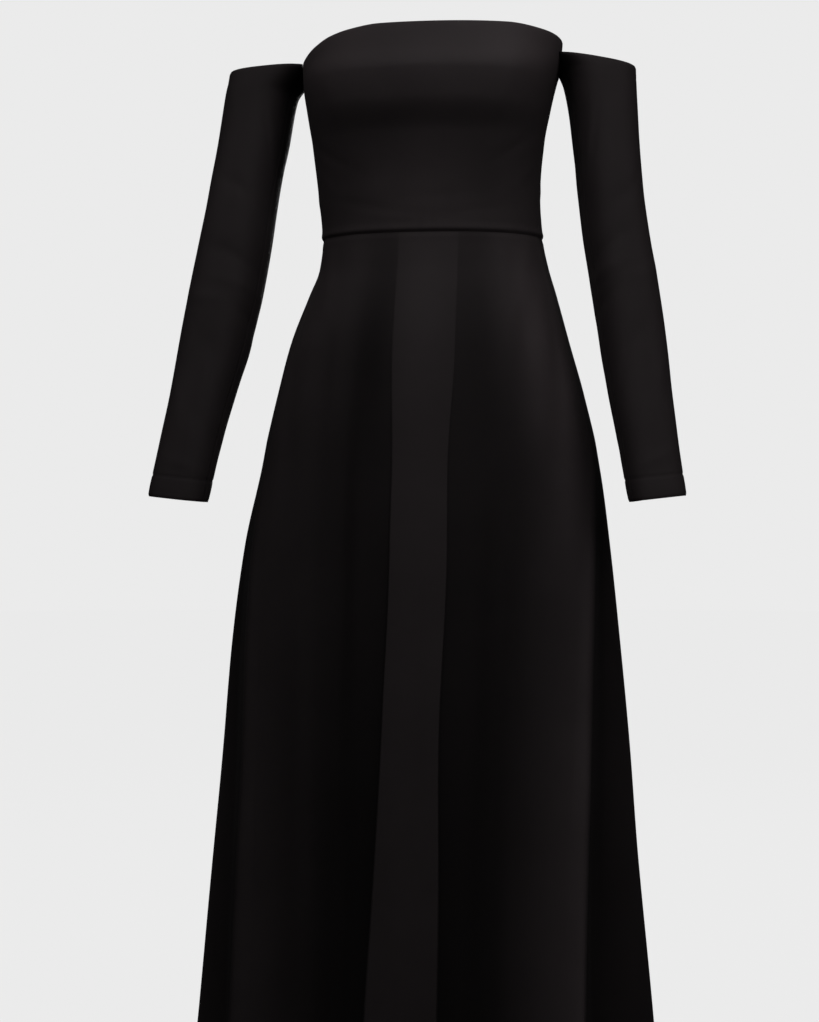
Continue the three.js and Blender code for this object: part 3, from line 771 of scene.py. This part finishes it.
back_line_angle = 24.0
tape_inside = 2.3
tape_thickness = 0.6
tape_outer = 11.8
tape_inner = 0.7
tape_top = 17.0
tape_bottom = -362.0
tape_wave = 0.12
tape_wave_reach = 11.0
coil_top = 7.0
coil_bottom = -346.0
coil_inside = 3.35
tooth_pitch = 1.5
tooth_step_aside = 0.55
tooth_size = (2.0, 1.0, 0.85)
pull_axis_level = 14.0
plate_size = (3.4, 2.2, 8)
plate_standing_out = 0.8
plate_tail_share = 0.68
plate_panel_half_width = 0.9
crown_size = (1.5, 0.9, 4.2)
crown_out = 2.85
crown_leg = 2.7
crown_half_opening = 1.3
pull_axis_out = 2.0
pull_size = (5.2, 1.1, 23)
pull_above_axis = 0.55
pull_hole_half_width = 1.5
pull_hole_rows = (1, 4)
pull_pocket_half_width = 1.25
pull_pocket_rows = (15, 20)
# The pull's width by the distance below its top, as a share of its head
pull_widths = (
    (0, 0.84), (1, 1), (4, 1), (6, 0.76), (8.5, 0.62), (12, 0.74), (16, 1.04), (19, 1.19), (21, 1.1),
    (22.3, 0.8), (23, 0.4),
)


def back_section(level, across):
    """Points on the outside of the centre back, across in millimetres towards the right as worn."""
    if level < waist_level:
        share = np.abs(across) / (float(body["back"](level)) * math.radians(back_line_angle))
        place = np.where(across < 0, left_back_line - share, right_back_line + share)
        return skirt_section(level)(place)[1]
    return body_point(180 + np.degrees(across / body_radius(180, level)), level)


def inside_back(level, across, inward):
    """The centre back's section moved into the dress."""
    points = back_section(level, across)
    along = np.gradient(points[:, :2], axis=0)
    along = along / np.linalg.norm(along, axis=1, keepdims=True)
    points[:, 0] -= along[:, 1] * inward
    points[:, 1] += along[:, 0] * inward
    return points


def zip_tape(name, first_edge, last_edge, material):
    across = np.linspace(first_edge, last_edge, 15)
    levels = np.linspace(tape_top, tape_bottom, 190)
    waves = tape_wave * np.sin(levels / tape_wave_reach)
    points = np.array([inside_back(float(z), across, tape_inside + w) for z, w in zip(levels, waves)])
    tape = cloth_piece(name, points, material, "zip_tape", thickness=tape_thickness)


def repeated(name, template, places):
    """One mesh of many copies of a small piece, which is then taken away. The places are in millimetres."""
    corners = np.array([v.co for v in template.data.vertices])
    faces = [list(p.vertices) for p in template.data.polygons]
    bpy.data.objects.remove(template)
    all_corners = (corners[None] + np.array(places)[:, None] * MM).reshape(-1, 3)
    all_faces = [[i + k * len(corners) for i in face] for k in range(len(places)) for face in faces]
    mesh = bpy.data.meshes.new(name)
    mesh.from_pydata(all_corners.tolist(), [], all_faces)
    return placed(name, mesh)


def block(name, centre, size):
    """A box of a size in millimetres, in edit mode with nothing selected."""
    bpy.ops.object.select_all(action="DESELECT")
    bpy.ops.mesh.primitive_cube_add(size=1, location=Vector(centre) * MM)
    piece = bpy.context.active_object
    piece.name = name
    piece.scale = Vector(size) * MM
    bpy.ops.object.transform_apply(location=True, rotation=False, scale=True)
    bpy.ops.object.mode_set(mode="EDIT")
    bpy.ops.mesh.select_all(action="DESELECT")
    return piece


def select_only(piece, found):
    shape = bmesh.from_edit_mesh(piece.data)
    bpy.ops.mesh.select_all(action="DESELECT")
    for element in found(shape):
        element.select = True
    shape.select_flush_mode()
    bmesh.update_edit_mesh(piece.data)


def select_faces(piece, wanted):
    """Selects the faces whose centre, in millimetres, and normal pass a test."""
    select_only(piece, lambda shape: [
        face for face in shape.faces if wanted(face.calc_center_median() / MM, face.normal)])


def select_points(piece, wanted):
    """Selects the points whose place, in millimetres, passes a test."""
    select_only(piece, lambda shape: [point for point in shape.verts if wanted(point.co / MM)])


def cut_evenly(cuts):
    """Cuts the whole piece into even rows both ways."""
    bpy.ops.mesh.select_all(action="SELECT")
    bpy.ops.mesh.subdivide(number_cuts=cuts)


def push_out(distance):
    """Extrudes the selected faces in millimetres."""
    bpy.ops.mesh.extrude_region_move(TRANSFORM_OT_translate={"value": Vector(distance) * MM})


def finish_metal(piece, body_name, node, material, rounding):
    """Rounds a metal piece's edges, in millimetres, and finishes it."""
    bpy.ops.object.mode_set(mode="OBJECT")
    edge = piece.modifiers.new("edges", "BEVEL")
    edge.width = rounding * MM
    edge.segments = 3
    edge.limit_method = "ANGLE"
    bpy.ops.object.modifier_apply(modifier="edges")
    bpy.ops.object.shade_smooth_by_angle(angle=math.radians(40))
    finished(piece, material, body_name, node)


def make_slider(material):
    face = float(body["back"](pull_axis_level)) + plate_standing_out
    plate = block("zip_slider_body", (0, face - plate_size[1] / 2, pull_axis_level), plate_size)
    cut_evenly(3)
    select_points(plate, lambda at: at.z < pull_axis_level - 1)
    bpy.ops.transform.resize(value=(plate_tail_share, 1, 1))
    select_faces(plate, lambda at, normal: normal.y > 0.9 and abs(at.x) < plate_panel_half_width)
    bpy.ops.mesh.inset(thickness=0.25 * MM, depth=-0.15 * MM)
    finish_metal(plate, "dress", "zip_slider", material, 0.22)
    crown = block("zip_slider_crown", (0, face + crown_out, pull_axis_level), crown_size)
    cut_evenly(5)
    select_faces(crown, lambda at, normal: (
        normal.y < -0.9 and abs(at.z - pull_axis_level) > crown_half_opening))
    push_out((0, -crown_leg, 0))
    finish_metal(crown, "dress", "zip_slider", material, 0.2)


def make_pull(material):
    """The pull tab hanging down, cut in rows of 1 mm, with a hole for the crown and a shallow pocket."""
    head, thickness, length = pull_size
    top = pull_axis_level + pull_above_axis
    axis_depth = float(body["back"](pull_axis_level)) + pull_axis_out
    tab = block("zip_pull_tab", (0, axis_depth, top - length / 2), (head, thickness, length))
    cut_evenly(length - 1)
    width = smooth_curve(*zip(*pull_widths))
    for row in range(length + 1):
        select_points(tab, lambda at: abs(top - at.z - row) < 0.3)
        bpy.ops.transform.resize(value=(float(width(row)), 1, 1))

    def in_hole(at, normal):
        first, last = pull_hole_rows
        return abs(normal.y) > 0.9 and abs(at.x) < pull_hole_half_width and first < top - at.z < last

    def in_pocket(at, normal):
        first, last = pull_pocket_rows
        half_width = pull_pocket_half_width * float(width(top - at.z))
        return normal.y > 0.9 and abs(at.x) < half_width and first < top - at.z < last

    select_faces(tab, in_hole)
    bpy.ops.mesh.bridge_edge_loops()
    select_faces(tab, in_pocket)
    bpy.ops.mesh.inset(thickness=0.3 * MM, depth=-0.2 * MM)
    finish_metal(tab, "zip_pull", "zip_pull", material, 0.25)


def make_coil(material):
    """Small teeth that step from side to side down the middle."""
    tooth = block("coil_tooth", (0, 0, 0), tooth_size)
    bpy.ops.mesh.select_all(action="SELECT")
    bpy.ops.mesh.bevel(offset=0.22 * MM, segments=2)
    bpy.ops.object.mode_set(mode="OBJECT")
    beside_middle = np.array([-0.3, 0.0, 0.3]) + 0.001
    places = []
    for i, level in enumerate(np.arange(coil_top, coil_bottom, -tooth_pitch / 2)):
        aside = tooth_step_aside if i % 2 else -tooth_step_aside
        middle = inside_back(float(level), beside_middle, coil_inside)[1]
        places.append((aside, middle[1], level))
    finished(repeated("zip_coil", tooth, places), material, "dress", "zip_tape")


# Materials

# How far the painted shade darkens the crepe's colour, and how much rougher it makes the cloth
painted_shade_darkening = 0.92
fold_dulling = 0.26
crepe_colours = ((0.0275, 0.0226, 0.0236), (0.0330, 0.0272, 0.0284))
tape_colours = ((0.006, 0.006, 0.006), (0.016, 0.015, 0.016))
coil_colours = ((0.008, 0.008, 0.009), (0.014, 0.013, 0.014))
enamel_colours = ((0.008, 0.008, 0.008), (0.02, 0.019, 0.018))


def node_group(name, inputs, outputs):
    tree = bpy.data.node_groups.new(name, "ShaderNodeTree")
    for label, kind, value in inputs:
        socket = tree.interface.new_socket(label, in_out="INPUT", socket_type=kind)
        socket.default_value = value
    for label, kind in outputs:
        tree.interface.new_socket(label, in_out="OUTPUT", socket_type=kind)
    return tree, tree.nodes.new("NodeGroupInput"), tree.nodes.new("NodeGroupOutput")


def feed(tree, socket, value):
    """Gives a socket a plain number, or links another node's output to it."""
    if isinstance(value, (int, float)):
        socket.default_value = value
    else:
        tree.links.new(value, socket)


def math_node(tree, operation, first, second):
    node = tree.nodes.new("ShaderNodeMath")
    node.operation = operation
    feed(tree, node.inputs[0], first)
    feed(tree, node.inputs[1], second)
    return node.outputs[0]


def noise_node(tree, vector, scale, detail, roughness):
    node = tree.nodes.new("ShaderNodeTexNoise")
    tree.links.new(vector, node.inputs["Vector"])
    feed(tree, node.inputs["Scale"], scale)
    node.inputs["Detail"].default_value = detail
    node.inputs["Roughness"].default_value = roughness
    return node.outputs["Fac"]


def bump_node(tree, height, strength, distance):
    node = tree.nodes.new("ShaderNodeBump")
    node.inputs["Strength"].default_value = strength
    node.inputs["Distance"].default_value = distance
    tree.links.new(height, node.inputs["Height"])
    return node.outputs["Normal"]


def grain_node(tree, grain, vector):
    node = tree.nodes.new("ShaderNodeGroup")
    node.node_tree = grain
    tree.links.new(vector, node.inputs["Vector"])
    return node


def new_material(name):
    """A material with its node tree and its shader."""
    material = bpy.data.materials.new(name)
    material.use_nodes = True
    return material, material.node_tree, material.node_tree.nodes["Principled BSDF"]


def own_coordinates(tree):
    return tree.nodes.new("ShaderNodeTexCoord").outputs["Object"]


def crepe_grain_group():
    """The pebbled face of crepe and the slow unevenness of its black."""
    tree, given, made = node_group(
        "crepe_grain",
        [("Vector", "NodeSocketVector", (0, 0, 0)), ("Grain Scale", "NodeSocketFloat", 1400.0),
         ("Patch Scale", "NodeSocketFloat", 9.0)],
        [("Grain", "NodeSocketFloat"), ("Patch", "NodeSocketFloat")],
    )
    vector = given.outputs["Vector"]
    fine = noise_node(tree, vector, given.outputs["Grain Scale"], 3.0, 0.6)
    patch = noise_node(tree, vector, given.outputs["Patch Scale"], 3.0, 0.55)
    tree.links.new(fine, made.inputs["Grain"])
    tree.links.new(patch, made.inputs["Patch"])
    return tree


def ramp(tree, factor, stops):
    node = tree.nodes.new("ShaderNodeValToRGB")
    tree.links.new(factor, node.inputs["Fac"])
    for element, (place, colour) in zip(node.color_ramp.elements, stops):
        element.position = place
        element.color = (*colour, 1)
    return node.outputs["Color"]


def crepe_material(name, dark, light, grain):
    """Matt black crepe whose colour is darkened by the painted shade attribute and lightened where it holds
    a painted highlight; the painted shade also makes it rougher.
    """
    material, tree, shader = new_material(name)
    crepe = grain_node(tree, grain, own_coordinates(tree))
    # The painted shade attribute: it scales the colour down for painted shade and up for a painted
    # highlight
    fold = tree.nodes.new("ShaderNodeAttribute")
    fold.attribute_name = "painted_shade"
    after_painted_shade = math_node(tree, "ADD", math_node(tree, "MULTIPLY", fold.outputs["Fac"], -painted_shade_darkening), 1.0)
    painted_shade_tint = tree.nodes.new("ShaderNodeVectorMath")
    painted_shade_tint.operation = "SCALE"
    colour = ramp(tree, crepe.outputs["Patch"], [(0.3, dark), (0.7, light)])
    tree.links.new(colour, painted_shade_tint.inputs[0])
    tree.links.new(after_painted_shade, painted_shade_tint.inputs["Scale"])
    tree.links.new(painted_shade_tint.outputs["Vector"], shader.inputs["Base Color"])
    grainy = math_node(tree, "MULTIPLY", crepe.outputs["Grain"], 0.12)
    duller = math_node(tree, "MULTIPLY", fold.outputs["Fac"], fold_dulling)
    rough = math_node(tree, "ADD", math_node(tree, "ADD", grainy, duller), 0.54)
    tree.links.new(rough, shader.inputs["Roughness"])
    tree.links.new(bump_node(tree, crepe.outputs["Grain"], 0.5, 0.00035), shader.inputs["Normal"])
    shader.inputs["Specular IOR Level"].default_value = 0.08
    shader.inputs["Sheen Weight"].default_value = 0.012
    shader.inputs["Sheen Roughness"].default_value = 0.35
    return material


def tape_material(name, dark, light):
    """Woven tape with a fine slanting rib."""
    material, tree, shader = new_material(name)
    weave = tree.nodes.new("ShaderNodeTexWave")
    weave.wave_type = "BANDS"
    weave.bands_direction = "DIAGONAL"
    weave.inputs["Scale"].default_value = 900.0
    weave.inputs["Distortion"].default_value = 0.6
    tree.links.new(own_coordinates(tree), weave.inputs["Vector"])
    colour = ramp(tree, weave.outputs["Fac"], [(0.2, dark), (0.8, light)])
    tree.links.new(colour, shader.inputs["Base Color"])
    tree.links.new(bump_node(tree, weave.outputs["Fac"], 0.5, 0.0002), shader.inputs["Normal"])
    shader.inputs["Roughness"].default_value = 0.8
    return material


def coil_material(name, dark, light, grain):
    """Nylon teeth, smoother than the crepe and uneven on a finer scale."""
    material, tree, shader = new_material(name)
    nylon = grain_node(tree, grain, own_coordinates(tree))
    nylon.inputs["Grain Scale"].default_value = 2600.0
    nylon.inputs["Patch Scale"].default_value = 60.0
    colour = ramp(tree, nylon.outputs["Patch"], [(0.3, dark), (0.7, light)])
    tree.links.new(colour, shader.inputs["Base Color"])
    rough = math_node(tree, "ADD", math_node(tree, "MULTIPLY", nylon.outputs["Grain"], 0.2), 0.28)
    tree.links.new(rough, shader.inputs["Roughness"])
    return material


def enamel_material(name, dark, light):
    """Black enamel on the slider and the pull, with slightly worn places."""
    material, tree, shader = new_material(name)
    wear = noise_node(tree, own_coordinates(tree), 900.0, 4.0, 0.6)
    colour = ramp(tree, wear, [(0.35, dark), (0.75, light)])
    tree.links.new(colour, shader.inputs["Base Color"])
    rough = math_node(tree, "ADD", math_node(tree, "MULTIPLY", wear, 0.2), 0.22)
    tree.links.new(rough, shader.inputs["Roughness"])
    shader.inputs["Coat Weight"].default_value = 0.3
    return material


# Stage, light and camera

floor_below_hem = 0.012
floor_radius = 14
floor_lit = 0.02
floor_glow = 0.822
room_tone = 0.83
room_glow = 0.02


def pale_material(name, lit, glow):
    """Pale paper that keeps an even tone to the camera and throws little light back at the cloth."""
    material, tree, shader = new_material(name)
    shader.inputs["Base Color"].default_value = (lit, lit, lit, 1)
    shader.inputs["Roughness"].default_value = 0.9
    shader.inputs["Specular IOR Level"].default_value = 0.0
    glow_node = tree.nodes.new("ShaderNodeEmission")
    glow_node.inputs["Color"].default_value = (glow, glow, glow, 1)
    add = tree.nodes.new("ShaderNodeAddShader")
    path = tree.nodes.new("ShaderNodeLightPath")
    tree.links.new(path.outputs["Is Camera Ray"], glow_node.inputs["Strength"])
    tree.links.new(shader.outputs[0], add.inputs[0])
    tree.links.new(glow_node.outputs[0], add.inputs[1])
    tree.links.new(add.outputs[0], tree.nodes["Material Output"].inputs["Surface"])
    return material


def make_floor():
    """A pale floor below the hem."""
    place = (0, 0, hem_level * MM - floor_below_hem)
    bpy.ops.mesh.primitive_circle_add(vertices=96, radius=floor_radius, fill_type="NGON", location=place)
    floor = bpy.context.active_object
    floor.name = "studio_floor"
    floor.data.materials.append(pale_material("studio_paper", floor_lit, floor_glow))


def make_room():
    """A room that looks pale and throws little light on the dress."""
    world = bpy.data.worlds.new("studio")
    bpy.context.scene.world = world
    world.use_nodes = True
    tree = world.node_tree
    far = tree.nodes["Background"]
    far.inputs["Color"].default_value = (room_tone, room_tone, room_tone, 1)
    path = tree.nodes.new("ShaderNodeLightPath")
    seen = math_node(tree, "MULTIPLY", path.outputs["Is Camera Ray"], 1 - room_glow)
    tree.links.new(math_node(tree, "ADD", seen, room_glow), far.inputs["Strength"])


def soft_light(name, place, aim, width, height, power):
    data = bpy.data.lights.new(name, "AREA")
    data.shape = "RECTANGLE"
    data.size = width
    data.size_y = height
    data.energy = power
    light = placed(name, data)
    light.location = place
    light.rotation_euler = (Vector(aim) - Vector(place)).to_track_quat("-Z", "Y").to_euler()


# Soft boxes, in metres and watts: (name, place, aim, width, height, power)
lights = [
    ("key", (0.0, -2.6, 1.2), (0.0, 0.0, -0.4), 1.2, 1.6, 8),
    ("top_soft", (0.05, -1.3, 1.9), (0.0, -0.05, -0.1), 3.2, 0.8, 26),
    ("right_box", (1.8, -1.6, 0.9), (0.1, 0.0, -0.4), 0.9, 1.6, 9),
    ("left_box", (-2.2, -1.5, 0.6), (0.0, 0.0, -0.3), 0.9, 1.8, 3),
    ("back_key", (0.0, 3.2, 0.9), (0.0, 0.0, -0.5), 0.5, 1.8, 26),
    ("back_top", (0.0, 1.7, 1.9), (0.0, 0.0, -0.2), 0.6, 0.8, 16),
]


def make_camera(turned, distance, sideways, height, lens):
    """The view of the front, turned in degrees towards the left as worn."""
    yaw = math.radians(turned)
    data = bpy.data.cameras.new("camera")
    data.sensor_width = 36
    data.lens = lens
    camera = placed("camera", data)
    camera.location = (
        distance * math.sin(yaw) + sideways * math.cos(yaw),
        -distance * math.cos(yaw) + sideways * math.sin(yaw),
        height,
    )
    camera.rotation_euler = (math.pi / 2, 0, yaw)
    bpy.context.scene.camera = camera


bpy.context.scene.view_settings.view_transform = "Standard"
grain = crepe_grain_group()
crepe = crepe_material("black_crepe", *crepe_colours, grain)
enamel = enamel_material("black_enamel", *enamel_colours)

# The armholes' corners, each sought between an angle inside the armhole and one outside it
left_front_corner = armhole_corner(left_sleeve, 100, 60)
left_back_corner = armhole_corner(left_sleeve, 105, 150)
right_front_corner = armhole_corner(right_sleeve, 100, 60)
right_back_corner = armhole_corner(right_sleeve, 100, 150)
corner_width = 0.25
zip_start = 174

# The columns of each bodice panel, with a narrow step across every corner
front_columns = spread(
    [-side_seam_angle, -right_front_corner - corner_width, -right_front_corner + corner_width, 0,
     left_front_corner - corner_width, left_front_corner + corner_width, side_seam_angle],
    [12, 1, 62, 62, 1, 14],
)
left_back_columns = spread(
    [side_seam_angle, left_back_corner - corner_width, left_back_corner + corner_width, zip_start, 180],
    [12, 1, 44, 8],
)
right_back_columns = spread(
    [-180, -zip_start, -right_back_corner - corner_width, -right_back_corner + corner_width,
     -side_seam_angle],
    [8, 44, 1, 12],
)
bodice_front = bodice_panel("bodice_front", front_columns, seam_edge, seam_edge, crepe)
bodice_back_left = bodice_panel("bodice_back_left", left_back_columns, seam_edge, zip_edge, crepe)
bodice_back_right = bodice_panel("bodice_back_right", right_back_columns, zip_edge, seam_edge, crepe)
sleeve_right = make_sleeve(right_sleeve, crepe)
sleeve_left = make_sleeve(left_sleeve, crepe)
skirt_front = skirt_panel("skirt_front", right_seam_line, left_seam_line, 241, crepe)
skirt_back_left = skirt_panel("skirt_back_left", left_seam_line, left_back_line, 121, crepe)
skirt_back_right = skirt_panel("skirt_back_right", right_back_line, right_seam_line, 121, crepe)

tape_weave = tape_material("black_zip_tape", *tape_colours)
coil_nylon = coil_material("black_coil", *coil_colours, grain)
zip_tape("zip_tape_left", -tape_outer, -tape_inner, tape_weave)
zip_tape("zip_tape_right", tape_inner, tape_outer, tape_weave)
make_coil(coil_nylon)
make_slider(enamel)
make_pull(enamel)

make_floor()
make_room()
for light in lights:
    soft_light(*light)
make_camera(turned=7.5, distance=2.5, sideways=-0.025, height=-0.497, lens=75.27)
